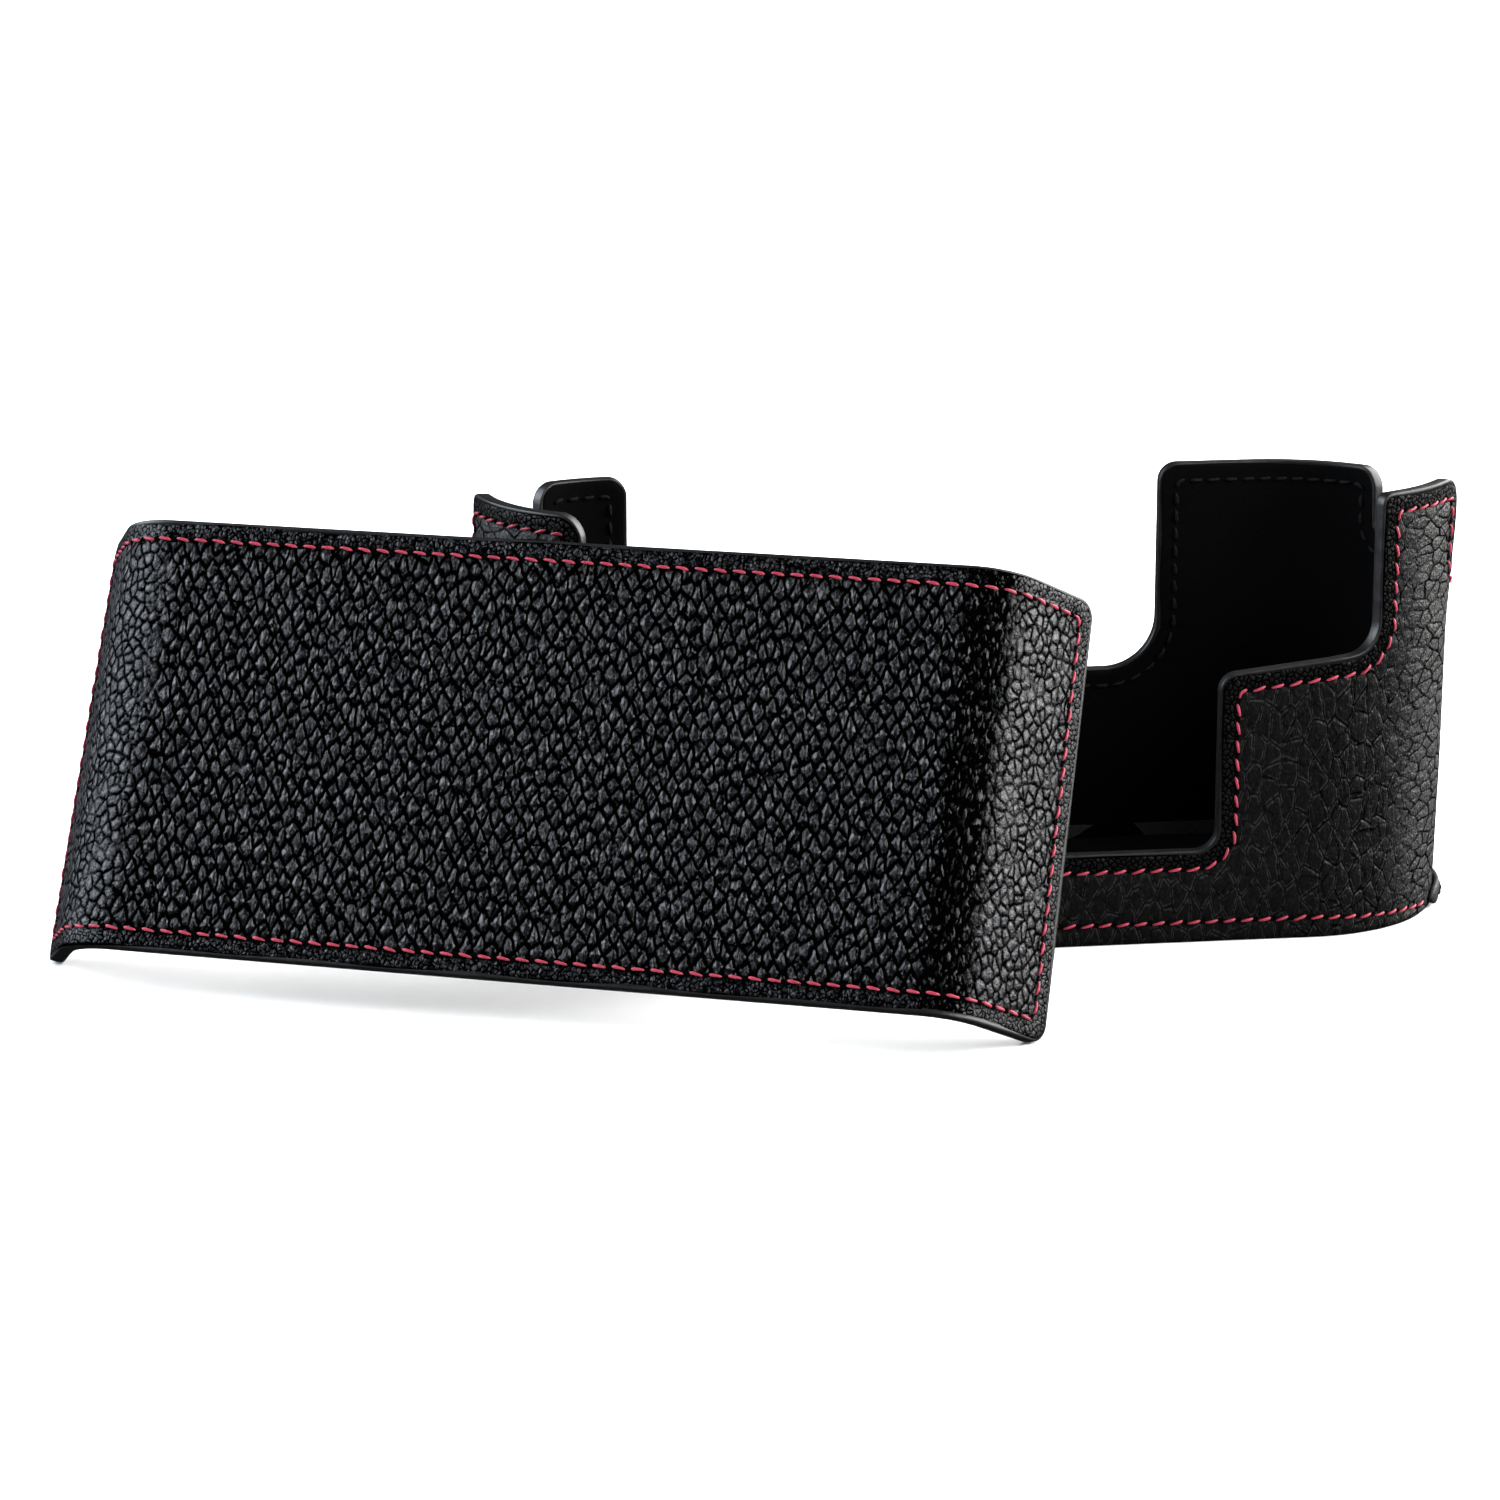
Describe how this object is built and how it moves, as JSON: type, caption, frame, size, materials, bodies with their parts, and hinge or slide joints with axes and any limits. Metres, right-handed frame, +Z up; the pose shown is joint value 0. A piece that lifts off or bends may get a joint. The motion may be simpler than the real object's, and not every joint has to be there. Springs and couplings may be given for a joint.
{
  "type": "leather ever ready camera case",
  "caption": "Black pebbled leather half case for a rangefinder camera, with a separate curled cover panel leaning on it, both edged with red stitching.",
  "frame": {"origin": "centre of the half case's underside", "axes": "+X along the half case towards the viewer's right, +Y from front to back, +Z up"},
  "size_m": [0.2079, 0.0991, 0.0653],
  "materials": {
    "pebbled_leather": "black pebbled grain, semi-gloss",
    "base_leather": "black smooth, satin",
    "binding_leather": "black smooth, semi-gloss",
    "suede_lining": "black microsuede, matt nap",
    "stiffener_board": "matt fibre board",
    "magnet_strip": "matt magnetic rubber",
    "plate_metal": "fine brushed",
    "bushing_brass": "turned",
    "screw_steel": "turned steel",
    "red_thread": "waxed thread",
    "black_thread": "waxed thread"
  },
  "bodies": {
    "half_case": {"wall_leather": "pebbled_leather", "wall_stiffener": "stiffener_board", "wall_lining": "suede_lining", "case_magnet_left": "magnet_strip", "case_magnet_right": "magnet_strip", "base_leather": "base_leather", "base_plate": "plate_metal", "base_lining": "suede_lining", "screw_bushing": "bushing_brass", "rear_base_binding": "binding_leather", "binding_thread": "black_thread", "base_thread": "red_thread", "rim_thread_outer": "red_thread", "rim_thread_inner": "black_thread"},
    "camera_screw": {"tripod_screw": "screw_steel", "screw_retainer": "screw_steel"},
    "cover": {"cover_leather": "pebbled_leather", "cover_stiffener": "stiffener_board", "cover_lining": "suede_lining", "cover_magnet_left": "magnet_strip", "cover_magnet_right": "magnet_strip", "cover_thread_outer": "red_thread", "cover_thread_inner": "black_thread"}
  },
  "joints": [
    {"name": "screw_turn", "type": "hinge", "parent": "half_case", "child": "camera_screw", "pos_m": [0.01, 0, 0.004], "axis": [0, 0, 1], "continuous": true},
    {"name": "cover_lift", "type": "slide", "parent": "half_case", "child": "cover", "axis": [0, 0, 1], "range_m": [0, 0.1]}
  ]
}
